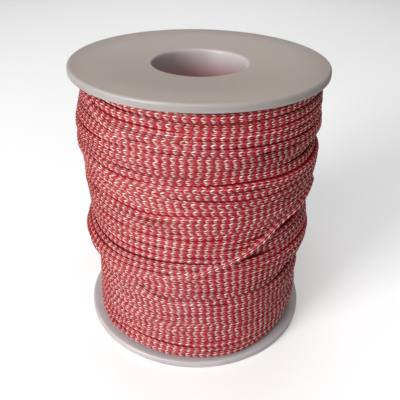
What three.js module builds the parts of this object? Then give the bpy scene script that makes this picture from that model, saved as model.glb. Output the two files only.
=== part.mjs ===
// Spool of braided cord: one moulded plastic spool and the cord wound on its barrel.
// Millimetres, +Z up along the spool's axis, origin at the centre of the lower face.
// Angles are degrees around the axis: 0 faces -Y, the front, and +90 faces +X.
import * as THREE from "three";

// The moulded spool
const FLANGE_RADIUS = 38;
const FLANGE_THICKNESS = 2.5;
const SPOOL_HEIGHT = 88;
const RIM_ROUNDING = 0.7;
const BARREL_RADIUS = 16;
const BORE_RADIUS = 14;
const BORE_LIP = 0.8;
const REST_RING_RADIUS = 30;
const FACE_DISH = 0.9;
const ROOT_FILLET = 1;
const SPOOL_SIDES = 72;

// The wound cord
const CLEARANCE = 0.3;
const CORD_WIDTH = 2.2;
const TURNS = 38;
const RIDGE_DEPTH = 1;
const INNER_CHAMFER = 1.2;
const WINDING_SIDES = 72;
const ROWS_PER_TURN = 2;

const WINDING_BASE = FLANGE_THICKNESS + CLEARANCE;
const WINDING_TOP = SPOOL_HEIGHT - WINDING_BASE;

// Crest radius of the winding at each height, on six sides. The winding is fuller in some bands
// than in others, and falls away where it meets a flange.
const FORM_ANGLES = { left: -76, front: 0, right: 76, backRight: 130, back: 180, backLeft: -130 };
const FORM = [
  { height: 2.8, left: 33.0, front: 33.8, right: 34.6, backRight: 34.1, back: 34.0, backLeft: 33.6 },
  { height: 6, left: 34.4, front: 35.2, right: 36.0, backRight: 35.4, back: 35.4, backLeft: 35.0 },
  { height: 12, left: 34.6, front: 35.8, right: 36.2, backRight: 36.3, back: 35.7, backLeft: 36.2 },
  { height: 16, left: 34.3, front: 35.6, right: 35.6, backRight: 36.6, back: 35.6, backLeft: 36.4 },
  { height: 20, left: 34.7, front: 35.8, right: 35.5, backRight: 36.2, back: 36.2, backLeft: 35.9 },
  { height: 24, left: 35.2, front: 36.0, right: 35.7, backRight: 35.7, back: 36.8, backLeft: 35.4 },
  { height: 28, left: 35.9, front: 36.2, right: 35.7, backRight: 35.8, back: 36.5, backLeft: 35.5 },
  { height: 32, left: 37.1, front: 36.6, right: 36.8, backRight: 36.4, back: 36.0, backLeft: 36.3 },
  { height: 36, left: 37.3, front: 36.9, right: 37.6, backRight: 36.9, back: 35.9, backLeft: 36.9 },
  { height: 40, left: 36.0, front: 36.6, right: 37.4, backRight: 36.5, back: 36.4, backLeft: 36.6 },
  { height: 44, left: 35.4, front: 36.3, right: 36.5, backRight: 36.0, back: 36.9, backLeft: 36.0 },
  { height: 48, left: 35.3, front: 36.2, right: 36.1, backRight: 36.2, back: 36.6, backLeft: 35.8 },
  { height: 52, left: 35.8, front: 36.3, right: 37.2, backRight: 36.7, back: 36.1, backLeft: 36.3 },
  { height: 56, left: 35.7, front: 36.2, right: 36.8, backRight: 36.9, back: 36.2, backLeft: 36.7 },
  { height: 61, left: 36.5, front: 36.5, right: 37.7, backRight: 36.6, back: 36.8, backLeft: 36.3 },
  { height: 65, left: 37.3, front: 36.7, right: 37.5, backRight: 36.1, back: 37.1, backLeft: 36.1 },
  { height: 68, left: 37.0, front: 36.5, right: 36.3, backRight: 36.0, back: 36.7, backLeft: 36.5 },
  { height: 72, left: 37.4, front: 36.6, right: 37.4, backRight: 36.5, back: 36.1, backLeft: 36.9 },
  { height: 76, left: 36.2, front: 36.5, right: 36.8, backRight: 36.8, back: 35.9, backLeft: 36.5 },
  { height: 80, left: 35.3, front: 36.3, right: 36.6, backRight: 36.3, back: 36.1, backLeft: 35.8 },
  { height: 85.2, left: 34.6, front: 35.7, right: 35.9, backRight: 35.4, back: 35.2, backLeft: 35.0 },
];

// How the turns run. Each row is the groove that has so many turns below it, by its height at
// each station around the front. Behind the winding the turns lie evenly, with a slow wave.
const STATIONS = [-75, -55, -38, -20, 0, 20, 38, 55, 75];
const GROOVES = [
  { turns: 2, heights: [7.6, 7.6, 7.2, 6.9, 6.3, 6.2, 6.8, 7.4, 7.4] },
  { turns: 4, heights: [11.2, 11.0, 10.9, 11.3, 11.2, 11.3, 11.0, 11.4, 11.6] },
  { turns: 8, heights: [20.6, 21.0, 20.7, 20.6, 21.0, 20.2, 19.6, 19.7, 20.0] },
  { turns: 10, heights: [26.0, 26.3, 25.8, 25.0, 24.6, 24.2, 23.4, 23.3, 23.9] },
  { turns: 12, heights: [30.4, 31.0, 30.5, 29.9, 29.8, 29.4, 29.1, 29.0, 28.9] },
  { turns: 14, heights: [33.6, 33.8, 33.8, 34.8, 34.0, 34.6, 34.3, 33.7, 33.4] },
  { turns: 17, heights: [40.2, 39.9, 39.3, 40.0, 40.1, 39.9, 40.2, 40.8, 40.3] },
  { turns: 20, heights: [47.0, 47.5, 47.4, 47.2, 46.5, 46.3, 46.3, 46.6, 46.5] },
  { turns: 24, heights: [54.9, 54.9, 54.2, 53.5, 54.5, 54.4, 54.8, 55.4, 55.2] },
  { turns: 27, heights: [63.2, 63.2, 62.9, 61.7, 61.3, 60.4, 60.5, 61.0, 61.2] },
  { turns: 29, heights: [66.9, 66.4, 65.7, 65.5, 65.9, 66.0, 65.4, 65.1, 65.4] },
  { turns: 30, heights: [69.2, 69.0, 68.4, 67.9, 68.0, 68.4, 68.1, 67.9, 67.9] },
  { turns: 33, heights: [74.2, 73.9, 73.8, 74.2, 74.1, 73.4, 73.2, 73.4, 73.9] },
  { turns: 34, heights: [78.4, 78.2, 76.7, 76.4, 76.1, 75.8, 75.5, 75.2, 75.6] },
  { turns: 36, heights: [82.2, 82.1, 80.7, 80.6, 80.3, 80.0, 80.1, 80.4, 80.7] },
  { turns: 37, heights: [83.9, 84.0, 83.5, 83.0, 82.4, 82.0, 82.3, 82.7, 82.9] },
];
const BACK_WAVE = 0.5;

// Strands that cross over the turns below them, each by the angle and height of its points. A
// strand stands proud by its rise and sinks back among the turns over its last degrees.
const STRANDS = [
  { name: "long_diagonal", rise: 1.1,
    path: [[84, 55.5], [66, 53.6], [50, 50.6], [30, 44.8], [10, 39.2], [-6, 35.9], [-30, 33.6]] },
  { name: "upper_left", rise: 0.8,
    path: [[-100, 84.0], [-72, 83.4], [-57, 82.4], [-48, 79.8], [-38, 77.9], [-20, 77.4], [4, 77.2]] },
  { name: "middle_left", rise: 0.6,
    path: [[-96, 67.6], [-70, 66.8], [-50, 65.4], [-38, 63.9], [-24, 62.8], [-2, 62.3]] },
  { name: "lower_left", rise: 0.8,
    path: [[-84, 32.6], [-58, 32.3], [-42, 31.3], [-28, 28.7], [-14, 26.1], [4, 25.6], [20, 25.2]] },
  { name: "foot_left", rise: 0.6,
    path: [[-70, 9.3], [-46, 10.2], [-32, 12.2], [-14, 14.9], [6, 16.4], [30, 16.9]] },
];
const STRAND_FADE = 14;
const STRAND_HALF_WIDTH = CORD_WIDTH * 1.1;

// Short hollows where the turns part, one on the left and two on the right
const HOLLOWS = [
  { angle: -55, height: 58, depth: 1.3, halfAngle: 9, halfHeight: 1.7 },
  { angle: 27, height: 39.7, depth: 1.0, halfAngle: 11, halfHeight: 0.9 },
  { angle: 37, height: 72.7, depth: 0.9, halfAngle: 8, halfHeight: 0.8 },
];

const radians = THREE.MathUtils.degToRad;

// Points of a circular arc, from one angle in degrees to another
function arc(centreR, centreZ, radius, from, to, steps) {
  const points = [];
  for (let i = 0; i <= steps; i += 1) {
    const a = radians(from + ((to - from) * i) / steps);
    points.push(new THREE.Vector2(centreR + radius * Math.cos(a), centreZ + radius * Math.sin(a)));
  }
  return points;
}

// Half of the spool's section, from the bore up and over one flange to the middle of the barrel
function lowerHalfSection() {
  const lip = BORE_RADIUS + BORE_LIP;
  const rimCentre = FLANGE_RADIUS - RIM_ROUNDING;
  const root = BARREL_RADIUS + ROOT_FILLET;
  return [
    ...arc(lip, FACE_DISH + BORE_LIP, BORE_LIP, 180, 270, 3),
    new THREE.Vector2(REST_RING_RADIUS, 0),
    ...arc(rimCentre, RIM_ROUNDING, RIM_ROUNDING, 270, 360, 3),
    ...arc(rimCentre, FLANGE_THICKNESS - RIM_ROUNDING, RIM_ROUNDING, 0, 90, 3),
    ...arc(root, FLANGE_THICKNESS + ROOT_FILLET, ROOT_FILLET, 270, 180, 2),
  ];
}

// A lathed body about +Z from a closed section of (radius, height) points
function lathed(section, sides) {
  const geometry = new THREE.LatheGeometry([...section, section[0].clone()], sides);
  return geometry.rotateX(Math.PI / 2);
}

function buildSpool() {
  const lower = lowerHalfSection();
  const upper = lower.map((p) => new THREE.Vector2(p.x, SPOOL_HEIGHT - p.y)).reverse();
  return lathed([...lower, ...upper], SPOOL_SIDES);
}

// Smooth curve through values at rising positions, level at both ends
function smoothThrough(positions, values, at) {
  const last = positions.length - 1;
  const x = THREE.MathUtils.clamp(at, positions[0], positions[last]);
  let i = 0;
  while (i < last - 1 && x > positions[i + 1]) i += 1;
  const span = positions[i + 1] - positions[i];
  const slope = (k) => (k <= 0 || k >= last ? 0
    : (values[k + 1] - values[k - 1]) / (positions[k + 1] - positions[k - 1]));
  const t = (x - positions[i]) / span;
  const t2 = t * t;
  const t3 = t2 * t;
  return (2 * t3 - 3 * t2 + 1) * values[i] + (t3 - 2 * t2 + t) * span * slope(i)
    + (3 * t2 - 2 * t3) * values[i + 1] + (t3 - t2) * span * slope(i + 1);
}

// An angle brought between -180 and 180 degrees
function wrapped(angle) {
  return THREE.MathUtils.euclideanModulo(angle + 180, 360) - 180;
}

// Crest radius of the winding at an angle and height
function formRadius(angle, height) {
  const heights = FORM.map((row) => row.height);
  const sides = ["back", "backLeft", "left", "front", "right", "backRight", "back"];
  const around = sides.map((side) => FORM_ANGLES[side]);
  around[0] -= 360;
  const radii = sides.map((side) => smoothThrough(heights, FORM.map((row) => row[side]), height));
  return smoothThrough(around, radii, wrapped(angle));
}

// Height of a groove behind the winding, where the turns lie evenly
function backHeight(turns) {
  const even = THREE.MathUtils.lerp(WINDING_BASE, WINDING_TOP, turns / TURNS);
  const fade = Math.sin((Math.PI * turns) / TURNS);
  return even + BACK_WAVE * fade * Math.sin(0.9 * turns);
}

// Height at an angle of the line that has so many turns below it
function turnHeight(turns, angle) {
  const behind = backHeight(turns);
  const counts = [0, ...GROOVES.map((row) => row.turns), TURNS];
  const heights = STATIONS.map((_, s) => {
    const column = [WINDING_BASE, ...GROOVES.map((row) => row.heights[s]), WINDING_TOP];
    let i = 0;
    while (i < counts.length - 2 && turns > counts[i + 1]) i += 1;
    const t = (turns - counts[i]) / (counts[i + 1] - counts[i]);
    return THREE.MathUtils.lerp(column[i], column[i + 1], t);
  });
  const around = [-180, -115, ...STATIONS, 115, 180];
  return smoothThrough(around, [behind, behind, ...heights, behind, behind], wrapped(angle));
}

// How much of a crossing strand lies at an angle and height, from 0 beside it to 1 on its crest
function strandShare(strand, angle, height) {
  const path = [...strand.path].sort((a, b) => a[0] - b[0]);
  const angles = path.map((point) => point[0]);
  const start = angles[0];
  const end = angles[angles.length - 1];
  if (angle <= start || angle >= end) return 0;
  const centre = smoothThrough(angles, path.map((point) => point[1]), angle);
  const across = Math.min(1, Math.abs(height - centre) / STRAND_HALF_WIDTH);
  const fade = Math.min(1, (angle - start) / STRAND_FADE, (end - angle) / STRAND_FADE);
  return Math.cos((Math.PI / 2) * across) ** 2 * THREE.MathUtils.smoothstep(fade, 0, 1);
}

// How deep the hollows between parted turns are at an angle and height
function hollowDepth(angle, height) {
  let depth = 0;
  for (const hollow of HOLLOWS) {
    const across = wrapped(angle - hollow.angle) / hollow.halfAngle;
    const up = (height - hollow.height) / hollow.halfHeight;
    depth += hollow.depth * Math.exp(-(across * across + up * up));
  }
  return depth;
}

// Outer surface point of the winding on the line with so many turns below it. A crossing strand
// stands proud and covers the grooves under it.
function windingPoint(turns, angle, isGroove) {
  const height = turnHeight(turns, angle);
  const shares = STRANDS.map((strand) => strandShare(strand, wrapped(angle), height));
  const rise = Math.max(...STRANDS.map((strand, i) => strand.rise * shares[i]));
  const groove = isGroove ? RIDGE_DEPTH * (1 - Math.max(...shares)) : 0;
  const radius = formRadius(angle, height) + rise - groove - hollowDepth(angle, height);
  return [Math.min(radius, FLANGE_RADIUS - CLEARANCE), height];
}

// One closed ring: the section of the winding at each angle, joined all the way round
function buildWinding() {
  const inner = BARREL_RADIUS + CLEARANCE;
  const rows = TURNS * ROWS_PER_TURN;
  const sections = [];
  for (let k = 0; k < WINDING_SIDES; k += 1) {
    const angle = (360 * k) / WINDING_SIDES;
    const section = [
      [inner, WINDING_TOP - INNER_CHAMFER],
      [inner, WINDING_BASE + INNER_CHAMFER],
      [inner + INNER_CHAMFER, WINDING_BASE],
    ];
    for (let j = 0; j <= rows; j += 1) {
      section.push(windingPoint(j / ROWS_PER_TURN, angle, j % ROWS_PER_TURN === 0));
    }
    section.push([inner + INNER_CHAMFER, WINDING_TOP]);
    sections.push({ angle, section });
  }
  return ringGeometry(sections);
}

// A closed ring from sections of (radius, height) points, each at its own angle
function ringGeometry(sections) {
  const count = sections[0].section.length;
  const positions = [];
  for (const { angle, section } of sections) {
    const a = radians(angle);
    for (const [radius, height] of section) {
      positions.push(radius * Math.sin(a), -radius * Math.cos(a), height);
    }
  }
  const index = [];
  for (let k = 0; k < sections.length; k += 1) {
    const here = k * count;
    const next = ((k + 1) % sections.length) * count;
    for (let j = 0; j < count; j += 1) {
      const up = (j + 1) % count;
      index.push(here + j, next + j, next + up, here + j, next + up, here + up);
    }
  }
  const geometry = new THREE.BufferGeometry();
  geometry.setAttribute("position", new THREE.Float32BufferAttribute(positions, 3));
  geometry.setIndex(index);
  geometry.computeVertexNormals();
  return geometry;
}

function mesh(name, geometry, colour, roughness) {
  const material = new THREE.MeshStandardMaterial({ color: colour, roughness, metalness: 0 });
  const piece = new THREE.Mesh(geometry, material);
  piece.name = name;
  return piece;
}

const spoolOfCord = new THREE.Group();
spoolOfCord.name = "spool_of_braided_cord";
spoolOfCord.add(
  mesh("spool", buildSpool(), 0xdcd5ce, 0.42),
  mesh("cord_winding", buildWinding(), 0xb23a41, 0.82),
);

export default spoolOfCord;
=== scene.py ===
"""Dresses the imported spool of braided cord: the moulding, the wound cord, the light and the camera.

Lengths in the size fields are millimetres, unless the class says otherwise. Angles are degrees
around the spool's axis: 0 faces -Y, the front, and +90 faces +X.
"""

import logging
import math
from dataclasses import dataclass, field
from enum import Enum

import bmesh
import bpy
import numpy as np
from mathutils import Matrix, Vector


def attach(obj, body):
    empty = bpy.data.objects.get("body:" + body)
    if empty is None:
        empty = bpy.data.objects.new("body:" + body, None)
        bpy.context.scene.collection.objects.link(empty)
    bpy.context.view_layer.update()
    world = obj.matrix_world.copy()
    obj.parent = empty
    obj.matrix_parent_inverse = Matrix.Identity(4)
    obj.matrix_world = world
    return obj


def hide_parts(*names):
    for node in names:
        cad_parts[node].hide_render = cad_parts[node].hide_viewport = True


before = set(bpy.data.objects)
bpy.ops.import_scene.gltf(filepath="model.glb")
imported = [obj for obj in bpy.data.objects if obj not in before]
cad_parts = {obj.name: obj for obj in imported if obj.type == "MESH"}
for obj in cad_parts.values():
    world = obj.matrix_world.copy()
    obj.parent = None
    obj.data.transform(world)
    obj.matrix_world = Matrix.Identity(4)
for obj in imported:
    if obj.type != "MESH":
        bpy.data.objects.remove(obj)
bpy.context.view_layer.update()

LOG = logging.getLogger("spool")
MM = 0.001
BODY = "root"
PICTURE_SIDE = 400
# Columns of floats around the whole cord, and the map's number for its outward side
BRAID_COLUMNS = 8
OUTWARD_COLUMN = 8.0


def smooth_through(positions: np.ndarray, values: np.ndarray, at: np.ndarray) -> np.ndarray:
    """Reads a smooth curve through values at rising positions, level at both ends.

    Args:
        positions: rising positions, one for each value.
        values: the values, along the first axis; a second axis holds one curve for each `at`.
        at: where to read the curve.

    Returns:
        The curve's value at each place of `at`.
    """
    x = np.clip(at, positions[0], positions[-1])
    i = np.clip(np.searchsorted(positions, x, side="right") - 1, 0, len(positions) - 2)
    slopes = np.zeros_like(values, dtype=float)
    rise = (values[2:] - values[:-2]).T / (positions[2:] - positions[:-2])
    slopes[1:-1] = rise.T
    if values.ndim == 2:
        columns = np.arange(len(x))
        low, high = values[i, columns], values[i + 1, columns]
        slope_low, slope_high = slopes[i, columns], slopes[i + 1, columns]
    else:
        low, high, slope_low, slope_high = values[i], values[i + 1], slopes[i], slopes[i + 1]
    span = positions[i + 1] - positions[i]
    t = (x - positions[i]) / span
    t2, t3 = t * t, t * t * t
    return ((2 * t3 - 3 * t2 + 1) * low + (t3 - 2 * t2 + t) * span * slope_low
            + (3 * t2 - 2 * t3) * high + (t3 - t2) * span * slope_high)


def smoothstep(t: np.ndarray) -> np.ndarray:
    """Eases from 0 to 1 as t goes from 0 to 1."""
    t = np.clip(t, 0.0, 1.0)
    return t * t * (3 - 2 * t)


def wrapped(angle: np.ndarray) -> np.ndarray:
    """Brings an angle between -180 and 180 degrees."""
    return (angle + 180.0) % 360.0 - 180.0


def slow_noise(at: np.ndarray, cell: float, seed: int) -> np.ndarray:
    """Reads smooth seeded noise along a line.

    Args:
        at: places along the line.
        cell: the distance between independent values.
        seed: the seed of the values.

    Returns:
        Noise of about -1 to 1 at each place.
    """
    grid = at / cell
    first = int(np.floor(grid.min())) - 1
    count = int(np.ceil(grid.max())) - first + 3
    values = np.random.default_rng(seed).uniform(-1.0, 1.0, count)
    i = np.floor(grid).astype(int) - first
    t = smoothstep(grid - np.floor(grid))
    return values[i] * (1 - t) + values[i + 1] * t


class NodeSheet:
    """Lays out a material's nodes by short calls."""

    def __init__(self, name: str) -> None:
        """Starts a material with an empty tree and its output.

        Args:
            name: the material's name.
        """
        self.material = bpy.data.materials.new(name)
        self.material.use_nodes = True
        self.tree = self.material.node_tree
        self.tree.nodes.clear()
        self.output = self.tree.nodes.new("ShaderNodeOutputMaterial")

    def node(self, kind: str, inputs: dict | None = None, **settings: object) -> bpy.types.Node:
        """Adds a node.

        Args:
            kind: the node's type, without its ShaderNode prefix.
            inputs: socket name or index to a value, or to another node's socket.
            settings: the node's own properties.

        Returns:
            The new node.
        """
        made = self.tree.nodes.new("ShaderNode" + kind)
        for key, value in settings.items():
            setattr(made, key, value)
        for key, value in (inputs or {}).items():
            if isinstance(value, bpy.types.NodeSocket):
                self.tree.links.new(value, made.inputs[key])
            else:
                made.inputs[key].default_value = value
        return made

    def math(self, operation: str, *values: object) -> bpy.types.NodeSocket:
        """Adds a math node and gives its result."""
        return self.node("Math", dict(enumerate(values)), operation=operation).outputs[0]

    def mix(self, share: object, a: object, b: object, blend: str = "MIX") -> bpy.types.NodeSocket:
        """Mixes two colours.

        Args:
            share: how much of b, a number or a socket.
            a: the first colour or socket.
            b: the second colour or socket.
            blend: the way they mix.

        Returns:
            The mixed colour's socket.
        """
        made = self.node("Mix", {0: share, 6: a, 7: b}, data_type="RGBA", blend_type=blend)
        return made.outputs[2]

    def ramp(self, value: bpy.types.NodeSocket, ends: tuple, to: tuple = (0.0, 1.0),
             smooth: bool = False) -> bpy.types.NodeSocket:
        """Maps one range to another and holds it at both ends.

        Args:
            value: the socket to map.
            ends: the values that give the first and the second number of `to`.
            to: the numbers to map to.
            smooth: whether it eases in and out.

        Returns:
            The mapped value's socket.
        """
        way = "SMOOTHSTEP" if smooth else "LINEAR"
        values = dict(enumerate((value, *ends, *to)))
        return self.node("MapRange", values, interpolation_type=way).outputs[0]

    def shaded(self, colour: bpy.types.NodeSocket, shade: bpy.types.NodeSocket) -> bpy.types.NodeSocket:
        """Multiplies a colour by a shade."""
        grey = self.node("CombineColor", {0: shade, 1: shade, 2: shade}).outputs[0]
        return self.mix(1.0, colour, grey, "MULTIPLY")

    def off_middle(self, value: bpy.types.NodeSocket) -> bpy.types.NodeSocket:
        """Gives 0 where a value is a half and 1 where it is 0 or 1."""
        return self.math("MULTIPLY", self.math("ABSOLUTE", self.math("SUBTRACT", value, 0.5)), 2.0)

    def finish(self, shader: bpy.types.NodeSocket) -> bpy.types.Material:
        """Joins the shader to the output and gives the material."""
        self.tree.links.new(shader, self.output.inputs["Surface"])
        return self.material


@dataclass(frozen=True)
class BraidFinish:
    """Red braided cord with cream carriers, in an eight-column diamond braid.

    Places along a float and across a column are shares of it, and bump_height is in metres.
    """

    name: str = "braided_cord_red_and_cream"
    red: tuple = (0.50, 0.009, 0.021, 1.0)
    # painted highlight on the red floats
    red_painted_highlight: tuple = (0.80, 0.12, 0.16, 1.0)
    # painted shade in the hollows between the floats
    painted_shade_between_floats: tuple = (0.25, 0.004, 0.009, 1.0)
    # painted nest shade: a deep red for the shade and bounced light where the turns nest
    painted_nest_shade_red: tuple = (0.48, 0.008, 0.020, 1.0)
    cream: tuple = (0.70, 0.34, 0.31, 1.0)
    # painted highlight on the cream floats
    cream_painted_highlight: tuple = (1.0, 0.88, 0.83, 1.0)
    roughness: float = 0.22
    gloss: float = 0.75
    float_shades: tuple = (0.76, 1.12)
    # A float's outline: how sharply its ends and sides fall off, how wide it is, and between which
    # heights of its swell the yarn's colour sets in
    end_taper: float = 2.2
    side_taper: float = 2.6
    side_reach: float = 1.32
    outline: tuple = (-0.10, 0.32)
    # The painted highlight on each float's crown: where it lies, how it fades along and across, and its
    # strength on the far arm
    painted_highlight_at: float = 0.36
    painted_highlight_fade: tuple = (0.34, 0.06)
    painted_highlight_sides: tuple = (0.80, 0.30)
    far_arm: float = 0.60
    # Painted shade where a float turns away from the light: where along the float it sets in, and how dark
    # it gets
    painted_side_shade_at: tuple = (0.55, 0.85)
    painted_side_shade: float = 0.52
    filaments: float = 3.0
    filament_tone: float = 0.18
    filament_relief: float = 0.10
    float_dome: float = 0.6
    bump_height: float = 0.00014
    # Painted shade where the turns nest against each other, in a deep red that stands for shade and for
    # light bounced between the red turns: how dark the cord is there, and how many columns from its
    # outward side that is full and nothing; it dims the gloss as well
    painted_nest_shade: float = 0.9
    painted_nest_shade_columns: tuple = (2.0, 1.2)

    def material(self) -> bpy.types.Material:
        """Makes the finish from the cord's own coordinates.

        Returns:
            The material; u counts floats along the cord and v counts columns around it.
        """
        s = NodeSheet(self.name)
        cord = s.node("SeparateXYZ", {0: s.node("UVMap", uv_map="braid").outputs[0]})
        along, around = cord.outputs[0], cord.outputs[1]
        step, part = s.math("FLOOR", along), s.math("FRACT", along)
        column, side = s.math("FLOOR", around), s.math("FRACT", around)
        is_cream = s.math("GREATER_THAN", s.math("FRACT", s.math("MULTIPLY", step, 0.5)), 0.25)
        cell = s.node("CombineXYZ", {0: step, 1: column}).outputs[0]
        luck = s.node("TexWhiteNoise", {0: cell}, noise_dimensions="3D")
        sparkle = s.node("SeparateColor", {0: luck.outputs[1]}).outputs[1]
        beside = s.off_middle(side)
        to_end = s.math("POWER", s.off_middle(part), self.end_taper)
        to_side = s.math("POWER", s.math("MULTIPLY", beside, self.side_reach), self.side_taper)
        swell = s.math("SUBTRACT", s.math("SUBTRACT", 1.0, to_end), to_side)
        shown = s.ramp(swell, self.outline, smooth=True)
        flank = s.math("ABSOLUTE", s.math("SUBTRACT", around, OUTWARD_COLUMN))
        # painted nest shade on the cord's flanks, where the turns nest against each other
        clear_of_painted_nest_shade = s.ramp(flank, self.painted_nest_shade_columns, (1.0 - self.painted_nest_shade, 1.0))
        # where each float's crown is painted with a highlight
        crown = self.crown(s, part, column, beside, sparkle)
        thread = s.math("SINE", s.math("MULTIPLY", part, self.filaments * 2 * math.pi))
        # shade: each float's random tone, the painted shade on its turned side, and its filaments' tone
        shade = s.math("MULTIPLY", s.ramp(luck.outputs[0], (0.0, 1.0), self.float_shades),
                       s.ramp(part, self.painted_side_shade_at, (1.0, self.painted_side_shade)))
        shade = s.math("MULTIPLY", shade, s.math("MULTIPLY_ADD", thread, self.filament_tone, 1.0))
        # the floats' colours with their painted highlights
        red = s.mix(crown, self.red, self.red_painted_highlight)
        cream = s.mix(crown, self.cream, self.cream_painted_highlight)
        yarn = s.shaded(s.mix(is_cream, red, cream), shade)
        # gap: painted shade between the floats, and the painted nest shade on the flanks
        gap = s.mix(clear_of_painted_nest_shade, self.painted_nest_shade_red, self.painted_shade_between_floats)
        dome = s.math("POWER", s.math("MAXIMUM", swell, 0.0), self.float_dome)
        height = s.math("MULTIPLY_ADD", thread, self.filament_relief, dome)
        bump = s.node("Bump", {"Height": height, "Distance": self.bump_height})
        gloss = s.math("MULTIPLY", clear_of_painted_nest_shade, self.gloss) if self.painted_nest_shade else self.gloss
        shader = s.node("BsdfPrincipled", {
            "Base Color": s.mix(s.math("MULTIPLY", shown, clear_of_painted_nest_shade), gap, yarn),
            "Normal": bump.outputs[0],
            "Roughness": self.roughness,
            "Specular IOR Level": gloss,
        })
        return s.finish(shader.outputs[0])

    def crown(self, s: NodeSheet, part: bpy.types.NodeSocket, column: bpy.types.NodeSocket,
              beside: bpy.types.NodeSocket, sparkle: bpy.types.NodeSocket) -> bpy.types.NodeSocket:
        """Finds where a float's crown is painted with a highlight, as if it caught the light.

        Args:
            s: the finish's node sheet.
            part: the place along the float, from 0 to 1.
            column: the number of the column that the float is in.
            beside: how far from the column's middle, from 0 to 1.
            sparkle: how strong the float's painted highlight is, a random share from 0 to 1.

        Returns:
            How much of the painted highlight's colour shows.
        """
        from_painted_highlight = s.math("ABSOLUTE", s.math("SUBTRACT", part, self.painted_highlight_at))
        core = s.ramp(from_painted_highlight, self.painted_highlight_fade, smooth=True)
        arm = s.math("FRACT", s.math("MULTIPLY", column, 0.5))
        strength = s.ramp(arm, (0.0, 0.5), (1.0, self.far_arm))
        middle = s.ramp(beside, self.painted_highlight_sides)
        return s.math("MULTIPLY", s.math("MULTIPLY", core, sparkle), s.math("MULTIPLY", middle, strength))


@dataclass(frozen=True)
class MilkyPlastic:
    """Off-white moulded plastic that lets some light through.

    Its lengths are metres, and each pair of them is where one tint or painted light starts and where it
    is full.
    """

    name: str = "milky_moulded_plastic"
    colour: tuple = (0.262, 0.204, 0.176, 1.0)
    # painted light: the lower flange lighter, as if lit through from the pale floor below
    foot_painted_light: tuple = (0.42, 0.385, 0.395, 1.0)
    # painted light: the thin rim lighter, as if light shone through it
    rim_painted_light: tuple = (0.30, 0.28, 0.27, 1.0)
    bore: tuple = (0.42, 0.375, 0.385, 1.0)
    # painted red glow and shade down the bore, for the cord's light through the barrel
    bore_painted_glow_and_shade: tuple = (0.44, 0.055, 0.06, 1.0)
    bore_radii: tuple = (0.0150, 0.0141)
    bore_painted_glow_and_shade_heights: tuple = (0.085, 0.070)
    rim_painted_light_radii: tuple = (0.0370, 0.0377)
    foot_painted_light_heights: tuple = (0.006, 0.003)
    flow_scale: float = 60.0
    flow_range: tuple = (0.3, 0.7)
    flow_tones: tuple = (0.95, 1.04)
    grain_scale: float = 1400.0
    grain_height: float = 0.00002
    grain_strength: float = 0.35
    roughness: float = 0.38
    smoother: float = 0.05
    rougher: float = 0.07
    scatter: float = 0.7
    scatter_radius: tuple = (1.0, 0.85, 0.8)
    scatter_scale: float = 0.004
    refraction: float = 1.5

    def material(self) -> bpy.types.Material:
        """Makes the plastic, with a faint flow pattern, painted light on the rim and the foot, and down the
        bore a painted red glow and shade for the cord's light through the barrel.

        Returns:
            The material; it reads places in the spool's own frame.
        """
        s = NodeSheet(self.name)
        place = s.node("TexCoord").outputs["Object"]
        flow = s.node("TexNoise", {"Vector": place, "Scale": self.flow_scale, "Detail": 3.0}).outputs[0]
        grain = s.node("TexNoise", {"Vector": place, "Scale": self.grain_scale, "Detail": 2.0}).outputs[0]
        x, y, z = s.node("SeparateXYZ", {0: place}).outputs
        radius = s.math("SQRT", s.math("ADD", s.math("MULTIPLY", x, x), s.math("MULTIPLY", y, y)))
        bore = s.mix(s.ramp(z, self.bore_painted_glow_and_shade_heights), self.bore, self.bore_painted_glow_and_shade)
        face = s.mix(s.ramp(radius, self.rim_painted_light_radii), self.colour, self.rim_painted_light)
        face = s.mix(s.ramp(z, self.foot_painted_light_heights), face, self.foot_painted_light)
        base = s.mix(s.ramp(radius, self.bore_radii), face, bore)
        rough = (self.roughness - self.smoother, self.roughness + self.rougher)
        shader = s.node("BsdfPrincipled", {
            "Base Color": s.shaded(base, s.ramp(flow, self.flow_range, self.flow_tones)),
            "Roughness": s.ramp(flow, (0.0, 1.0), rough),
            "Normal": s.node("Bump", {
                "Height": grain,
                "Distance": self.grain_height,
                "Strength": self.grain_strength,
            }).outputs[0],
            "Subsurface Weight": self.scatter,
            "Subsurface Radius": self.scatter_radius,
            "Subsurface Scale": self.scatter_scale,
            "IOR": self.refraction,
        })
        return s.finish(shader.outputs[0])


@dataclass(frozen=True)
class PaleFloor:
    """A matt white studio sweep."""

    name: str = "pale_studio_floor"
    colour: tuple = (0.90, 0.90, 0.90, 1.0)
    roughness: float = 0.9
    glow_colour: tuple = (1.0, 1.0, 1.0, 1.0)
    glow: float = 0.12

    def material(self) -> bpy.types.Material:
        """Makes the floor's finish, faintly lit from below like a light table.

        Returns:
            The material.
        """
        s = NodeSheet(self.name)
        shader = s.node("BsdfPrincipled", {
            "Base Color": self.colour,
            "Roughness": self.roughness,
            "Emission Color": self.glow_colour,
            "Emission Strength": self.glow,
        })
        return s.finish(shader.outputs[0])


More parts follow.
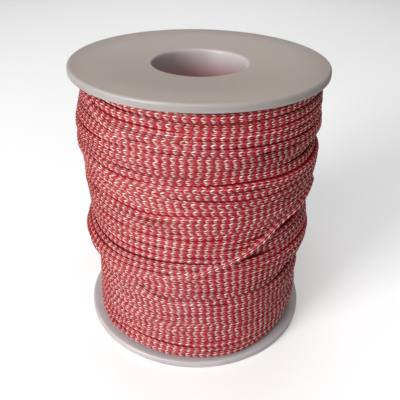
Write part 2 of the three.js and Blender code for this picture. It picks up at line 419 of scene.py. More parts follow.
def mesh_object(name: str, points: np.ndarray, faces: np.ndarray,
                material: bpy.types.Material) -> bpy.types.Object:
    """Makes a smooth-shaded mesh object from quads.

    Args:
        name: the piece's name.
        points: vertex places in metres.
        faces: vertex numbers, four for each face.
        material: the finish.

    Returns:
        The object, linked into the scene.
    """
    mesh = bpy.data.meshes.new(name)
    mesh.vertices.add(len(points))
    mesh.vertices.foreach_set("co", points.astype(np.float32).ravel())
    mesh.loops.add(faces.size)
    mesh.loops.foreach_set("vertex_index", faces.astype(np.int32).ravel())
    mesh.polygons.add(len(faces))
    mesh.polygons.foreach_set("loop_start", np.arange(0, faces.size, 4, dtype=np.int32))
    mesh.polygons.foreach_set("use_smooth", np.ones(len(faces), bool))
    mesh.update(calc_edges=True)
    mesh.validate()
    mesh.materials.append(material)
    made = bpy.data.objects.new(name, mesh)
    bpy.context.scene.collection.objects.link(made)
    return made


def ring_object(name: str, angle: np.ndarray, radius: np.ndarray, height: np.ndarray,
                material: bpy.types.Material) -> bpy.types.Object:
    """Makes a closed ring around the axis, from the outline of its section at each angle.

    Args:
        name: the piece's name.
        angle: radians around the axis, one for each section.
        radius: the section's distances from the axis, a row for each angle or one row for all.
        height: its heights, in the same way.
        material: the finish.

    Returns:
        The object, linked into the scene.
    """
    across, back = np.sin(angle)[:, None] * radius, -np.cos(angle)[:, None] * radius
    points = np.stack([across, back, np.broadcast_to(height, across.shape)], axis=-1)
    number = np.arange(across.size).reshape(across.shape)
    ahead, above = np.roll(number, -1, axis=0), np.roll(number, -1, axis=1)
    faces = np.stack([number, ahead, np.roll(ahead, -1, axis=1), above], axis=-1)
    return mesh_object(name, points.reshape(-1, 3) * MM, faces.reshape(-1, 4), material)


def keep(piece: bpy.types.Object, slot: str, *nodes: str) -> bpy.types.Object:
    """Ties a piece to the frame.

    Args:
        piece: the new piece.
        slot: a material slot of the record; not used.
        nodes: the CAD nodes that it stands for.

    Returns:
        The piece.
    """
    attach(piece, BODY)
    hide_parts(*nodes)
    LOG.info("%s: %d faces", piece.name, len(piece.data.polygons))
    return piece


@dataclass
class WindingForm:
    """The form of the wound cord: how far out it stands and how its turns run."""

    base: float = 2.8
    top: float = 85.2
    turns: int = 38
    cord_width: float = 2.2
    rim_limit: float = 37.7
    # Behind the stations the turns lie evenly from this angle on, in a slow wave
    back_from: float = 115
    back_wave: float = 0.5
    back_wave_rate: float = 0.9
    # Beside a parting: how far a turn's middle is from it, over what distance the effect fades,
    # what share of the gap half the cord gives up and its middle moves, and how it sets in
    parting_beside: float = 1.05
    parting_fade: float = 0.7
    parting_narrows: float = 0.35
    parting_moves: float = 0.25
    parting_overrun: float = 2.0
    parting_onset: float = 6.0
    # Crest radius by height, at these angles around the winding
    form_angles: tuple = (-180, -130, -76, 0, 76, 130, 180)
    form: tuple = (
        # height, back, back left, left, front, right, back right, back
        (2.8, 34.0, 34.2, 34.9, 36.2, 34.4, 34.1, 34.0),
        (6, 35.4, 35.0, 34.8, 36.0, 35.5, 35.4, 35.4),
        (12, 35.7, 36.2, 34.3, 35.8, 36.1, 36.3, 35.7),
        (16, 35.6, 36.4, 34.1, 35.6, 35.5, 36.6, 35.6),
        (20, 36.2, 35.9, 34.1, 35.8, 35.7, 36.2, 36.2),
        (24, 36.8, 35.4, 33.9, 36.0, 35.2, 35.7, 36.8),
        (28, 36.5, 35.5, 33.7, 36.2, 33.8, 35.8, 36.5),
        (32, 36.0, 36.3, 36.8, 36.6, 36.8, 36.4, 36.0),
        (36, 35.9, 36.9, 37.0, 36.9, 37.7, 36.9, 35.9),
        (40, 36.4, 36.6, 34.8, 36.6, 36.6, 36.5, 36.4),
        (44, 36.9, 36.0, 35.2, 36.3, 36.3, 36.0, 36.9),
        (48, 36.6, 35.8, 35.5, 36.2, 34.5, 36.2, 36.6),
        (52, 36.1, 36.3, 36.0, 36.3, 36.9, 36.7, 36.1),
        (56, 36.2, 36.7, 36.0, 36.2, 37.3, 36.9, 36.2),
        (61, 36.8, 36.3, 36.1, 36.5, 37.7, 36.6, 36.8),
        (65, 37.1, 36.1, 37.2, 36.7, 37.2, 36.1, 37.1),
        (68, 36.7, 36.5, 36.6, 36.5, 35.3, 36.0, 36.7),
        (72, 36.1, 36.9, 37.2, 36.6, 37.4, 36.5, 36.1),
        (76, 35.9, 36.5, 36.0, 36.5, 36.8, 36.8, 35.9),
        (80, 36.1, 35.8, 35.4, 36.3, 36.8, 36.3, 36.1),
        (85.2, 35.2, 35.0, 34.6, 35.7, 35.9, 35.4, 35.2),
    )
    # Height of the groove above so many turns, at each station around the front
    stations: tuple = (-75, -55, -38, -20, 0, 20, 38, 55, 75)
    grooves: tuple = (
        (2, (7.2, 7.3, 7.4, 7.4, 6.6, 6.2, 6.6, 7.0, 7.0)),
        (4, (10.9, 10.8, 10.8, 11.0, 11.2, 11.0, 10.7, 11.0, 11.2)),
        (5, (13.0, 12.9, 12.9, 13.3, 13.7, 13.4, 13.1, 13.3, 13.5)),
        (7, (17.0, 16.8, 16.6, 16.4, 17.2, 17.2, 16.9, 17.0, 17.2)),
        (8, (19.2, 19.0, 18.8, 18.7, 19.8, 19.6, 19.1, 19.2, 19.5)),
        (10, (23.8, 23.4, 23.4, 23.6, 24.1, 23.7, 22.9, 22.8, 23.4)),
        (12, (28.8, 28.6, 28.4, 28.8, 29.4, 28.8, 28.2, 28.5, 28.4)),
        (14, (33.3, 33.5, 33.6, 34.2, 33.5, 34.1, 34.1, 33.6, 33.2)),
        (17, (39.7, 39.2, 39.0, 39.5, 40.3, 39.9, 39.8, 40.3, 39.8)),
        (20, (46.5, 47.0, 46.9, 46.7, 46.0, 45.8, 45.8, 46.1, 46.0)),
        (24, (54.4, 54.4, 53.7, 53.0, 54.0, 53.9, 54.3, 54.9, 54.7)),
        (25, (56.5, 56.5, 55.8, 55.1, 56.2, 55.9, 56.2, 56.7, 56.7)),
        (26, (58.7, 58.7, 58.0, 57.2, 58.4, 57.9, 58.1, 58.6, 58.7)),
        (26.5, (61.6, 61.6, 61.3, 60.1, 59.6, 58.9, 59.0, 59.5, 59.7)),
        (27, (62.7, 62.7, 62.4, 61.2, 60.8, 59.9, 60.0, 60.5, 60.7)),
        (29, (66.4, 65.9, 65.2, 65.0, 65.4, 65.5, 64.9, 64.6, 64.9)),
        (30, (68.7, 68.5, 67.9, 67.4, 67.5, 67.9, 67.6, 67.4, 67.4)),
        (33, (73.7, 73.4, 73.3, 73.7, 73.6, 72.9, 72.7, 72.9, 73.4)),
        (33.5, (74.8, 74.5, 74.5, 74.8, 74.6, 74.1, 73.8, 73.8, 74.2)),
        (34, (77.9, 77.7, 76.2, 75.9, 75.6, 75.3, 75.0, 74.7, 75.1)),
        (36, (81.8, 81.7, 80.3, 80.1, 79.8, 79.5, 79.6, 79.9, 80.2)),
        (37, (83.5, 83.6, 83.1, 82.5, 81.7, 81.4, 81.8, 82.2, 82.4)),
    )
    # Hollows where the turns part: angle, height, depth, half angle, half height
    # A depth below zero is a place where the turn swells out
    hollows: tuple = (
        (-57, 55.6, 0.8, 9, 1.2),
        (27, 40.6, 1.5, 12, 1.0),
        (37, 72.5, 1.4, 10, 0.9),
        (20, 3.6, -0.9, 16, 1.8),
        (-52, 3.6, -0.5, 16, 1.8),
    )
    # Lines along which neighbouring turns part: width of the gap, then angle and height along it
    partings: tuple = (
        (0.35, ((-58, 82.0), (-50, 78.8), (-45, 77.3), (-40, 76.4), (-28, 76.0))),
        (0.25, ((0, 75.6), (15, 75.3), (35, 75.0), (58, 74.5))),
        (0.65, ((26, 72.9), (36, 72.5), (50, 72.7))),
        (0.60, ((12, 39.8), (18, 40.0), (23, 40.6), (28, 41.0), (36, 41.2))),
        (0.30, ((16, 71.5), (31, 70.9))),
        (0.30, ((-67, 68.8), (-45, 68.2), (-35, 67.7), (-20, 67.5), (0, 67.6))),
        (0.25, ((-50, 64.3), (-42, 63.5), (-29, 61.7))),
        (0.35, ((-14, 61.2), (0, 60.9), (20, 59.9), (30, 59.7), (50, 60.5), (68, 60.0))),
        (0.55, ((-44, 53.9), (-37, 53.6), (-28, 53.4), (-20, 53.0), (-10, 53.4))),
        (0.40, ((-66, 48.6), (-55, 48.9), (-42, 48.7), (-34, 48.4))),
        (0.40, ((-18, 51.0), (-10, 50.2), (-3, 49.5))),
        (0.40, ((3, 47.6), (15, 47.0), (22, 46.2))),
        (0.25, ((-32, 41.4), (-12, 41.5), (3, 42.2))),
        (0.35, ((-56, 38.0), (-41, 38.3), (-25, 39.3), (-8, 40.0), (8, 40.4))),
        (0.25, ((-50, 33.7), (-31, 33.7), (-20, 34.8), (-9, 36.0))),
        (0.30, ((-7, 33.6), (7, 33.4), (21, 34.3), (38, 34.2), (50, 33.7))),
        (0.35, ((-28, 28.6), (-18, 29.0), (-8, 28.9), (5, 29.4), (28, 27.9))),
        (0.45, ((-58, 25.4), (-45, 26.3), (-35, 26.0), (-28, 25.7), (-22, 23.8), (-14, 23.2),
                (2, 24.0), (18, 23.6))),
        (0.30, ((-61, 16.2), (-52, 18.4), (-41, 20.6), (-34, 21.1))),
        (0.25, ((-24, 18.3), (-14, 19.1), (5, 19.8))),
        (0.25, ((-24, 16.1), (-13, 16.7), (2, 17.2))),
        (0.35, ((-55, 4.4), (-42, 7.2), (-33, 9.2), (-22, 11.2), (-9, 13.0), (2, 13.7))),
        (0.35, ((-28, 7.7), (-17, 7.4), (-7, 7.2), (2, 6.2))),
        (0.30, ((4, 4.9), (20, 4.3), (36, 4.3))),
        (0.25, ((38, 45.5), (50, 46.0), (58, 46.6))),
    )

    def crest(self, angle: np.ndarray, height: np.ndarray) -> np.ndarray:
        """Gives the radius of the winding's outer face.

        Args:
            angle: degrees around the axis.
            height: millimetres above the lower face.

        Returns:
            The radius in millimetres.
        """
        heights = np.array([row[0] for row in self.form], float)
        sides = np.array([row[1:] for row in self.form], float)
        radii = np.array([smooth_through(heights, column, height) for column in sides.T])
        return smooth_through(np.array(self.form_angles, float), radii, wrapped(angle))

    def behind(self, turn: np.ndarray) -> np.ndarray:
        """Gives the height of a line behind the winding, where the turns lie evenly.

        Args:
            turn: turns below the line, with its fraction.

        Returns:
            The height in millimetres.
        """
        even = self.base + (self.top - self.base) * turn / self.turns
        fade = np.sin(np.pi * np.clip(turn / self.turns, 0, 1))
        return even + self.back_wave * fade * np.sin(self.back_wave_rate * turn)

    def height(self, turn: np.ndarray, angle: np.ndarray) -> np.ndarray:
        """Gives the height of the line that has so many turns below it.

        Args:
            turn: turns below the line, with its fraction.
            angle: degrees around the axis.

        Returns:
            The height in millimetres.
        """
        counts = np.array([0, *(row[0] for row in self.grooves), self.turns], float)
        table = np.array([row[1] for row in self.grooves], float)
        columns = [np.interp(turn, counts, [self.base, *table[:, s], self.top])
                   for s in range(len(self.stations))]
        behind = self.behind(turn)
        around = np.array([-180, -self.back_from, *self.stations, self.back_from, 180], float)
        values = np.array([behind, behind, *columns, behind, behind])
        return smooth_through(around, values, wrapped(angle))

    def hollow(self, angle: np.ndarray, height: np.ndarray) -> np.ndarray:
        """Gives how deep the hollows between parted turns are.

        Args:
            angle: degrees around the axis.
            height: millimetres above the lower face.

        Returns:
            The depth in millimetres, below zero where a turn swells out.
        """
        depth = np.zeros_like(height)
        for at, level, deep, half_angle, half_height in self.hollows:
            across = wrapped(angle - at) / half_angle
            up = (height - level) / half_height
            depth = depth + deep * np.exp(-(across ** 2 + up ** 2))
        return depth

    def parting(self, angle: np.ndarray, height: np.ndarray) -> tuple[np.ndarray, np.ndarray]:
        """Gives how the turns beside a parting draw back from it.

        Args:
            angle: degrees around the axis.
            height: height of the turn's middle.

        Returns:
            How much narrower half the cord is there, and how far its middle moves up.
        """
        narrower = np.zeros_like(height)
        move = np.zeros_like(height)
        for gap, points in self.partings:
            line = np.array(points, float)
            level = np.interp(angle, line[:, 0], line[:, 1])
            inside = np.minimum(angle - line[0, 0], line[-1, 0] - angle)
            ends = smoothstep((inside + self.parting_overrun) / self.parting_onset)
            side = height - level
            near = np.exp(-((np.abs(side) - self.parting_beside) / self.parting_fade) ** 2) * ends
            narrower = narrower + self.parting_narrows * gap * near
            move = move + self.parting_moves * gap * near * np.sign(side)
        return narrower, move


@dataclass
class CordPath:
    """The centre line of a run of cord, with its section's size along it."""

    angle: np.ndarray
    radius: np.ndarray
    height: np.ndarray
    half_width: np.ndarray
    half_depth: np.ndarray
    twist: np.ndarray
    length: np.ndarray = field(init=False)
    centre: np.ndarray = field(init=False)
    outward: np.ndarray = field(init=False)
    upward: np.ndarray = field(init=False)

    def __post_init__(self) -> None:
        """Works out the run's length, and at each step its directions outward and up."""
        a = np.radians(self.angle)
        radial = np.stack([np.sin(a), -np.cos(a), np.zeros_like(a)], axis=1)
        self.centre = radial * self.radius[:, None]
        self.centre[:, 2] = self.height
        steps = np.linalg.norm(np.diff(self.centre, axis=0), axis=1)
        self.length = np.concatenate([[0.0], np.cumsum(steps)])
        tangent = np.gradient(self.centre, self.length, axis=0)
        tangent /= np.linalg.norm(tangent, axis=1)[:, None]
        up = np.cross(radial, tangent)
        self.upward = up / np.linalg.norm(up, axis=1)[:, None]
        self.outward = np.cross(tangent, self.upward)

    def read(self, values: np.ndarray, at: np.ndarray) -> np.ndarray:
        """Reads values that go with the path at other lengths along it.

        Args:
            values: one value or one vector for each step of the path.
            at: the lengths, in any shape.

        Returns:
            The values in the shape of `at`, with the vectors along a last axis.
        """
        if values.ndim == 1:
            return np.interp(at, self.length, values)
        return np.stack([np.interp(at, self.length, v) for v in values.T], axis=-1)


@dataclass
class BraidedTube:
    """A run of cord as a mesh whose faces follow the braid's floats.

    Lean, cream_wider and drift are in float lengths, drift_cell counts floats, and edge_stand is a
    share of the relief.
    """

    float_length: float = 1.1
    rows_per_float: int = 4
    # Half columns on each side of the outward one; the rest of the cord is closed flat
    half_columns: int = 5
    lean: float = 1.15
    relief: float = 0.27
    edge_stand: float = 0.12
    crest_power: float = 0.7
    cream_wider: float = 0.04
    drift: float = 0.8
    drift_cell: float = 45.0
    drift_seed: int = 5
    atlas_strips: int = 17
    strip_margin: float = 0.04

    def points_around(self) -> tuple[np.ndarray, np.ndarray, np.ndarray]:
        """Gives the section's points: their column coordinate, lean and relief.

        Returns:
            Columns counted from the outward side, the lean of the floats there as a share of a
            float, and how far each point stands out from the yarn's edge.
        """
        half_steps = np.arange(-self.half_columns, self.half_columns + 1)
        column = half_steps / 2.0
        lean = self.lean * (np.abs((column % 2.0) - 1.0) - 0.5)
        middle = (half_steps % 2 != 0).astype(float)
        return column, lean, middle

    def build(self, name: str, path: CordPath, start: float, end: float,
              material: bpy.types.Material) -> bpy.types.Object:
        """Makes the mesh of a run.

        Args:
            name: the piece's name.
            path: the run's centre line.
            start: where the piece starts along it, in millimetres.
            end: where it ends.
            material: the braid's finish.

        Returns:
            The piece, with the maps that the finish reads.
        """
        column, lean, middle = self.points_around()
        first = math.floor(start / self.float_length * self.rows_per_float)
        last = math.floor(end / self.float_length * self.rows_per_float)
        row = np.arange(first, last + 1)
        floats = row / self.rows_per_float
        uneven = floats + self.cream_wider * np.cos(np.pi * floats)
        uneven = uneven + self.drift * slow_noise(floats, self.drift_cell, self.drift_seed)
        at = (uneven[:, None] - lean[None, :]) * self.float_length
        phi = np.radians(360.0 / BRAID_COLUMNS) * column[None, :] + path.read(path.twist, at)
        crest = np.abs(np.sin(np.pi * floats))[:, None] ** self.crest_power
        low, rise = self.edge_stand, 1.0 - self.edge_stand
        cut = self.relief * (1.0 - (low + rise * middle)[None, :] * (low + rise * crest))
        wide = path.read(path.half_width, at) - cut
        deep = path.read(path.half_depth, at) - cut
        outward = path.read(path.outward, at) * (deep * np.cos(phi))[..., None]
        upward = path.read(path.upward, at) * (wide * np.sin(phi))[..., None]
        points = path.read(path.centre, at) + outward + upward
        rows, around = at.shape
        number = np.arange(rows * around).reshape(rows, around)
        beside = np.roll(number, -1, axis=1)
        faces = np.stack([number[:-1], number[1:], beside[1:], beside[:-1]], axis=-1).reshape(-1, 4)
        piece = mesh_object(name, points.reshape(-1, 3) * MM, faces, material)
        self.map_braid(piece, floats, column)
        self.map_atlas(piece, rows, around)
        self.close_ends(piece, number)
        return piece

    def map_braid(self, piece: bpy.types.Object, floats: np.ndarray, column: np.ndarray) -> None:
        """Writes the map that counts floats along the cord and columns around it.

        Args:
            piece: the run's piece.
            floats: the count of floats at each row.
            column: the column coordinate of each point of a row.
        """
        u = np.stack([floats[:-1], floats[1:], floats[1:], floats[:-1]], axis=-1)[:, None, :]
        right = np.append(column[1:], column[-1] + 0.5)
        v = np.stack([column, column, right, right], axis=-1)[None, :, :] + OUTWARD_COLUMN
        self.write_map(piece, "braid", u, v)

    def map_atlas(self, piece: bpy.types.Object, rows: int, around: int) -> None:
        """Writes a map without overlaps, in strips that lie side by side.

        Args:
            piece: the run's piece.
            rows: how many rows of points it has.
            around: how many points a row has.
        """
        per_strip = math.ceil((rows - 1) / self.atlas_strips)
        i = np.arange(rows - 1)
        strip, local = i // per_strip, i % per_strip
        u = np.stack([local, local + 1, local + 1, local], axis=-1)[:, None, :] / (per_strip + 1.0)
        k = np.arange(around)
        v = np.stack([k, k, k + 1, k + 1], axis=-1)[None, :, :] / (around + 1.0)
        v = (strip[:, None, None] + self.strip_margin + v * (1.0 - self.strip_margin)) / self.atlas_strips
        self.write_map(piece, "OFBake", u, v)

    @staticmethod
    def write_map(piece: bpy.types.Object, name: str, u: np.ndarray, v: np.ndarray) -> None:
        """Writes one UV map from its corners' coordinates.

        Args:
            piece: the piece to map.
            name: the map's name.
            u: first coordinates, which broadcast with v to one for each corner of each face.
            v: second coordinates.
        """
        u, v = np.broadcast_arrays(u, v)
        layer = piece.data.uv_layers.new(name=name)
        corners = np.stack([u.ravel(), v.ravel()], axis=-1).astype(np.float32)
        layer.uv.foreach_set("vector", corners.ravel())

    @staticmethod
    def close_ends(piece: bpy.types.Object, number: np.ndarray) -> None:
        """Caps both ends of a run, so that its mesh is closed.

        Args:
            piece: the run's piece.
            number: the vertex numbers, a row for each ring around the cord.
        """
        bm = bmesh.new()
        bm.from_mesh(piece.data)
        bm.verts.ensure_lookup_table()
        for ring in (number[0], number[-1][::-1]):
            cap = bm.faces.new([bm.verts[int(n)] for n in ring])
            cap.smooth = True
        bm.to_mesh(piece.data)
        bm.free()


@dataclass
class WoundCord:
    """The cord on the spool: its outer turns, the layer under them and the strands that cross.

    Each pair named for an unevenness holds its amount and the degrees over which it changes. The
    amount is in millimetres, but a share of the spacing for press and degrees for twist.
    """

    form: WindingForm
    finish: bpy.types.Material
    under_painted_shade_finish: bpy.types.Material
    open_finish: bpy.types.Material
    cord_depth: float = 2.0
    turns_per_piece: int = 8
    layer_drop: float = 1.35
    layer_offset: float = 0.5
    degrees_per_step: float = 0.5
    # Half the cord's width as a share of the spacing, and the limits of half its width and depth
    press: float = 0.555
    half_widths: tuple = (0.85, 1.22)
    half_depths: tuple = (0.9, 1.15)
    uneven_press: tuple = (0.03, 45.0)
    uneven_radius: tuple = (0.16, 38.0)
    uneven_radius_quick: tuple = (0.10, 13.0)
    uneven_height: tuple = (0.14, 17.0)
    uneven_twist: tuple = (26.0, 210.0)
    strand_twist: tuple = (20.0, 60.0)
    # A turn climbs to the next one behind this angle, and may reach so far past the form's ends
    climb_from: float = 80.0
    end_reach: float = 0.25
    # Closer than this spacing, every second turn is pushed out by a share of what is short, up to
    # the most that counts, and the others are pushed in
    crowded_spacing: float = 1.9
    crowded_most: float = 0.8
    crowded_out: float = 0.7
    crowded_in: float = 0.2
    # The run's ends are tucked in, and the strands sink into the turns at theirs
    end_tuck: float = 2.4
    end_tuck_degrees: float = 30.0
    end_trim: float = 2.0
    strand_sink: float = 1.6
    strand_sink_degrees: float = 16.0
    strand_trim: float = 1.0
    # The ring for the inner layers: how far it lies under the crests, its inner radius, its room
    core_drop: float = 2.2
    core_inside: float = 20.0
    core_gap: float = 0.3
    core_sides: int = 144
    core_rows: int = 56
    core_floats_per_side: float = 2.0
    seed: int = 7
    under_seed: int = 27
    strand_seed: int = 47
    strands: tuple = (
        # name, rise, then angle and height of each point
        ("long_diagonal", 1.25,
         ((84, 55.5), (66, 53.6), (50, 50.6), (30, 44.8), (10, 39.2), (-6, 35.9), (-30, 33.6))),
        ("upper_left", 0.8,
         ((-100, 84.0), (-72, 83.4), (-57, 82.4), (-48, 79.8), (-38, 77.9), (-20, 77.4), (4, 77.2))),
        ("middle_left", 0.6,
         ((-96, 67.6), (-70, 66.8), (-50, 65.4), (-38, 63.9), (-24, 62.8), (-2, 62.3))),
        ("between_left", 0.15,
         ((-104, 60.6), (-75, 59.8), (-55, 59.8), (-38, 59.1), (-20, 58.3), (-8, 58.6), (6, 59.0))),
        ("between_upper_left", 0.15,
         ((-104, 77.4), (-75, 76.9), (-55, 76.6), (-45, 76.0), (-36, 75.4), (-24, 75.2))),
        ("lower_left", 0.8,
         ((-72, 26.3), (-58, 27.1), (-45, 28.0), (-35, 27.7), (-28, 27.3), (-20, 25.6), (-12, 25.0),
          (2, 25.7), (20, 25.2))),
        ("foot_left", 0.6,
         ((-68, 4.5), (-55, 6.0), (-42, 8.8), (-33, 10.8), (-22, 12.8), (-9, 14.6), (2, 15.3), (22, 15.5))),
    )

    @staticmethod
    def uneven(at: np.ndarray, amount_and_cell: tuple, seed: int) -> np.ndarray:
        """Gives an unevenness along the cord from its amount and the degrees over which it changes."""
        amount, cell = amount_and_cell
        return amount * slow_noise(at, cell, seed)

    def layer_path(self, offset: float, drop: float, seed: int) -> CordPath:
        """Lays one layer of turns as a single run from the lower flange to the upper.

        Args:
            offset: turns by which the layer is shifted up.
            drop: millimetres by which it lies under the outer face.
            seed: the seed of its unevenness.

        Returns:
            The layer's centre line.
        """
        form = self.form
        total = np.arange(0.0, 360.0 * form.turns, self.degrees_per_step)
        number = np.floor(total / 360.0)
        angle = total - 360.0 * number - 180.0
        climb = smoothstep((np.abs(angle) - self.climb_from) / (180.0 - self.climb_from))
        turn = number + 0.5 + 0.5 * np.sign(angle) * climb + offset
        height = form.height(turn, angle)
        spacing = form.height(turn + 0.5, angle) - form.height(turn - 0.5, angle)
        press = self.press + self.uneven(total, self.uneven_press, seed + 4)
        half_width = np.clip(press * spacing, *self.half_widths)
        flatter = (0.5 * form.cord_width / half_width) ** 0.5
        half_depth = np.clip(0.5 * self.cord_depth * flatter, *self.half_depths)
        narrower, move = form.parting(angle, height)
        half_width = half_width - narrower
        height = np.clip(height + move, form.base + half_width - self.end_reach,
                         form.top - half_width + self.end_reach)
        wander = self.uneven(total, self.uneven_radius, seed)
        wander = wander + self.uneven(total, self.uneven_radius_quick, seed + 1)
        pushed = np.where(number % 2 == 0, self.crowded_out, -self.crowded_in)
        crowd = np.clip(self.crowded_spacing - spacing, 0.0, self.crowded_most) * pushed
        radius = form.crest(angle, height) - half_depth - drop - form.hollow(angle, height)
        ends = smoothstep(np.minimum(total, total[-1] - total) / self.end_tuck_degrees)
        radius = radius + wander + crowd - self.end_tuck * (1.0 - ends)
        height = height + self.uneven(total, self.uneven_height, seed + 2)
        radius = np.minimum(radius, form.rim_limit - half_depth)
        twist_amount, twist_cell = self.uneven_twist
        twist = np.radians(twist_amount) * slow_noise(total, twist_cell, seed + 3)
        return CordPath(total - 180.0, radius, height, half_width, half_depth, twist)

    def strand_path(self, rise: float, points: tuple, seed: int) -> CordPath:
        """Lays one strand over the turns that it crosses.

        Args:
            rise: millimetres by which its crest stands over the outer face.
            points: angle and height of each point along it.
            seed: the seed of its twist.

        Returns:
            The strand's centre line.
        """
        form = self.form
        rows = np.array(sorted(points), float)
        angle = np.arange(rows[0, 0], rows[-1, 0], self.degrees_per_step)
        height = smooth_through(rows[:, 0], rows[:, 1], angle)
        ends = np.minimum(angle - angle[0], angle[-1] - angle)
        lift = (rise + self.strand_sink) * smoothstep(ends / self.strand_sink_degrees) - self.strand_sink
        half = np.full_like(angle, 0.5 * form.cord_width)
        deep = np.full_like(angle, 0.5 * self.cord_depth)
        radius = form.crest(angle, height) + lift - deep
        radius = np.minimum(radius, form.rim_limit - deep)
        twist_amount, twist_cell = self.strand_twist
        twist = np.radians(twist_amount) * slow_noise(angle, twist_cell, seed)
        return CordPath(angle, radius, height, half, deep, twist)

    def core(self) -> bpy.types.Object:
        """Makes the body of the inner layers, which closes the view between the turns.

        Returns:
            The piece, a closed ring around the barrel.
        """
        form = self.form
        angle = np.linspace(-180.0, 180.0, self.core_sides, endpoint=False)
        level = np.linspace(form.base + self.core_gap, form.top - self.core_gap, self.core_rows)
        around, height = np.meshgrid(angle, level, indexing="ij")
        outer = form.crest(around.ravel(), height.ravel()).reshape(height.shape) - self.core_drop
        inner = np.full((self.core_sides, 1), self.core_inside)
        radius = np.concatenate([inner, outer, inner], axis=1)
        height = np.concatenate([height[:, :1], height, height[:, -1:]], axis=1)
        piece = ring_object("cord_inner_layers", np.radians(angle), radius, height, self.under_painted_shade_finish)
        columns = np.arange(radius.shape[1])[None, :, None] + np.array([0, 0, 1, 1]) + OUTWARD_COLUMN
        sides = np.arange(self.core_sides)[:, None, None] + np.array([0, 1, 1, 0])
        floats = self.core_floats_per_side * sides
        BraidedTube.write_map(piece, "braid", floats, columns)
        return piece

    def build(self) -> list[bpy.types.Object]:
        """Makes every piece of the winding.

        Returns:
            The pieces.
        """
        tube = BraidedTube()
        outer = self.layer_path(offset=0.0, drop=0.0, seed=self.seed)
        pieces = [self.core()]
        step = 360.0 * self.turns_per_piece
        marks = np.arange(-180.0, outer.angle[-1], step)
        for k, mark in enumerate(marks):
            start = float(np.interp(mark, outer.angle, outer.length)) + (0.0 if k else self.end_trim)
            end = float(np.interp(mark + step, outer.angle, outer.length))
            end = min(end, outer.length[-1] - self.end_trim)
            pieces.append(tube.build(f"cord_turns_{k + 1}", outer, start, end, self.finish))
        under = self.layer_path(offset=self.layer_offset, drop=self.layer_drop, seed=self.under_seed)
        plain = BraidedTube(rows_per_float=1, half_columns=4, relief=0.0)
        half = under.length[-1] / 2
        halves = ((self.end_trim, half), (half, under.length[-1] - self.end_trim))
        for k, (start, end) in enumerate(halves):
            pieces.append(plain.build(f"cord_underlayer_{k + 1}", under, start, end, self.under_painted_shade_finish))
        for k, (name, rise, points) in enumerate(self.strands):
            path = self.strand_path(rise, points, self.strand_seed + k)
            end = path.length[-1] - self.strand_trim
            pieces.append(tube.build("strand_" + name, path, self.strand_trim, end, self.open_finish))
        return [keep(piece, "braided_cord", "cord_winding") for piece in pieces]


@dataclass
class MouldedSpool:
    """The plastic spool: a barrel with a spindle bore between two flanges, in one moulding."""

    finish: bpy.types.Material
    flange_radius: float = 38.0
    flange_thickness: float = 2.5
    height: float = 88.0
    rim_rounding: float = 0.7
    barrel_radius: float = 16.0
    bore_radius: float = 14.0
    bore_lip: float = 0.8
    rest_ring_radius: float = 30.0
    face_dish: float = 0.9
    face_land: float = 1.0
    root_fillet: float = 1.0
    sides: int = 256
    rounding_steps: int = 6
    fillet_steps: int = 5
    face_rings: int = 6

    @staticmethod
    def arc(r: float, z: float, radius: float, turn: tuple, steps: int) -> list[tuple]:
        """Gives points of a circular arc of the section.

        Args:
            r: the centre's distance from the axis.
            z: the centre's height.
            radius: the arc's radius.
            turn: its first and last angle in degrees.
            steps: how many steps it takes.

        Returns:
            The points as (radius, height).
        """
        angles = np.radians(np.linspace(turn[0], turn[1], steps + 1))
        return [(r + radius * math.cos(a), z + radius * math.sin(a)) for a in angles]

    def lower_half(self) -> list[tuple]:
        """Gives the section from the bore's foot, over the lower flange, to the barrel.

        Returns:
            The points as (radius, height).
        """
        lip = self.bore_radius + self.bore_lip
        rim = self.flange_radius - self.rim_rounding
        root = self.barrel_radius + self.root_fillet
        slope = self.face_dish / (self.rest_ring_radius - lip)
        rings = np.linspace(lip + self.face_land, self.rest_ring_radius, self.face_rings)
        steps, thick = self.rounding_steps, self.flange_thickness
        return [
            *self.arc(lip, self.face_dish + self.bore_lip, self.bore_lip, (180, 270), steps),
            *((r, slope * (self.rest_ring_radius - r)) for r in rings),
            *self.arc(rim, self.rim_rounding, self.rim_rounding, (270, 360), steps),
            *self.arc(rim, thick - self.rim_rounding, self.rim_rounding, (0, 90), steps),
            *self.arc(root, thick + self.root_fillet, self.root_fillet, (270, 180), self.fillet_steps),
        ]

    def build(self) -> bpy.types.Object:
        """Turns the section about the axis.

        Returns:
            The spool's piece.
        """
        lower = self.lower_half()
        upper = [(r, self.height - z) for r, z in reversed(lower)]
        section = np.array(lower + upper)
        angle = np.linspace(0, 2 * np.pi, self.sides, endpoint=False)
        piece = ring_object("moulded_spool", angle, section[:, 0], section[:, 1], self.finish)
        return keep(piece, "spool_plastic", "spool")


class LampSide(Enum):
    """Where a studio lamp stands: name, azimuth, elevation, then distance and size in metres, and watts."""

    KEY = ("key_left", -48.0, 17.0, 0.9, 0.35, 9.2)
    FRONT = ("front_soft", -20.0, 45.0, 0.9, 0.50, 2.0)
    RIGHT = ("right_fill", 30.0, 15.0, 0.9, 0.50, 0.8)
    TOP = ("overhead_soft", 0.0, 88.0, 0.9, 0.60, 3.0)
    BACK = ("back_soft", 180.0, 35.0, 0.9, 0.60, 1.8)


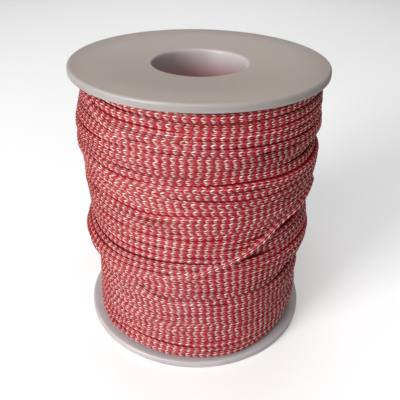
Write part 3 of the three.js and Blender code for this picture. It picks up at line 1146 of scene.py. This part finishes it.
@dataclass
class Studio:
    """The pale floor, the soft lamps and the camera at the photograph's angle.

    The camera's place is in flange radii and its angles in radians, its centre and focal length are
    in pixels of the picture, and the floor, the lamps' aim and the clip distances are in metres.
    """

    flange_radius: float = 38.0
    camera_distance: float = 3.9141
    camera_height: float = 3.3969
    yaw: float = 0.0019
    pitch: float = 0.5461
    roll: float = 0.0193
    focal_pixels: float = 508.05
    centre_x: float = 197.59
    centre_y: float = 202.54
    sensor: float = 36.0
    clip_from: float = 0.01
    clip_to: float = 10.0
    floor_half: float = 3.0
    lamp_aim: float = 0.04
    sky_colour: tuple = (1.0, 1.0, 1.0, 1.0)
    sky_strength: float = 0.08

    def camera(self) -> bpy.types.Object:
        """Sets up the camera as it stood for the photograph.

        Returns:
            The camera, set as the scene's.
        """
        data = bpy.data.cameras.new("camera")
        data.sensor_width = self.sensor
        data.lens = self.sensor * self.focal_pixels / PICTURE_SIDE
        data.shift_x = (PICTURE_SIDE / 2 - self.centre_x) / PICTURE_SIDE
        data.shift_y = (self.centre_y - PICTURE_SIDE / 2) / PICTURE_SIDE
        data.clip_start, data.clip_end = self.clip_from, self.clip_to
        made = bpy.data.objects.new("camera", data)
        bpy.context.scene.collection.objects.link(made)
        scale = self.flange_radius * MM
        forward = Vector((math.sin(self.yaw) * math.cos(self.pitch),
                          math.cos(self.yaw) * math.cos(self.pitch), -math.sin(self.pitch)))
        right = Vector((math.cos(self.yaw), -math.sin(self.yaw), 0.0))
        up = right.cross(forward)
        level, turn = math.cos(self.roll), math.sin(self.roll)
        side = right * level + up * turn
        crown = up * level - right * turn
        turned = Matrix((side, crown, -forward)).transposed().to_4x4()
        place = Vector((0.0, -self.camera_distance * scale, self.camera_height * scale))
        made.matrix_world = Matrix.Translation(place) @ turned
        bpy.context.scene.camera = made
        return made

    def lamp(self, side: LampSide) -> None:
        """Hangs one soft lamp that looks at the spool.

        Args:
            side: which lamp it is.
        """
        name, azimuth, elevation, distance, size, power = side.value
        data = bpy.data.lights.new(name, "AREA")
        data.shape = "SQUARE"
        data.size = size
        data.energy = power
        made = bpy.data.objects.new(name, data)
        around, up = math.radians(azimuth), math.radians(elevation)
        reach = Vector((math.sin(around) * math.cos(up), -math.cos(around) * math.cos(up), math.sin(up)))
        made.location = Vector((0.0, 0.0, self.lamp_aim)) + reach * distance
        made.rotation_euler = (-reach).to_track_quat("-Z", "Y").to_euler()
        bpy.context.scene.collection.objects.link(made)

    def floor(self) -> bpy.types.Object:
        """Lays the pale floor under the spool.

        Returns:
            The floor.
        """
        half = self.floor_half
        points = np.array([(-half, -half, 0), (half, -half, 0), (half, half, 0), (-half, half, 0)], float)
        made = mesh_object("studio_floor", points, np.array([[0, 1, 2, 3]]), PaleFloor().material())
        made.visible_glossy = False
        return made

    def build(self) -> None:
        """Sets up the floor, the lamps, the sky and the camera."""
        self.floor()
        for side in LampSide:
            self.lamp(side)
        world = bpy.data.worlds.new("studio_sky")
        world.use_nodes = True
        sky = world.node_tree.nodes["Background"]
        sky.inputs[0].default_value = self.sky_colour
        sky.inputs[1].default_value = self.sky_strength
        bpy.context.scene.world = world
        bpy.context.scene.view_settings.view_transform = "Standard"
        self.camera()


def main() -> None:
    """Builds the spool, the wound cord and the studio in turn."""
    logging.basicConfig(level=logging.INFO, format="%(name)s: %(message)s")
    MouldedSpool(finish=MilkyPlastic().material()).build()
    # the layers under the turns get the braid in painted shade: cream carriers painted red, no painted
    # highlight
    shaded = BraidFinish(name="braided_cord_underlayer_painted_shade",
                         red=(0.50, 0.012, 0.020, 1.0), red_painted_highlight=(0.50, 0.02, 0.03, 1.0),
                         cream=(0.52, 0.08, 0.08, 1.0), cream_painted_highlight=(0.52, 0.10, 0.10, 1.0))
    # the same braid without the painted nest shade, for the strands that lie on top
    lying_free = BraidFinish(name="braided_cord_lying_free", painted_nest_shade=0.0)
    WoundCord(form=WindingForm(), finish=BraidFinish().material(), under_painted_shade_finish=shaded.material(),
              open_finish=lying_free.material()).build()
    Studio().build()


if __name__ == "__main__":
    main()
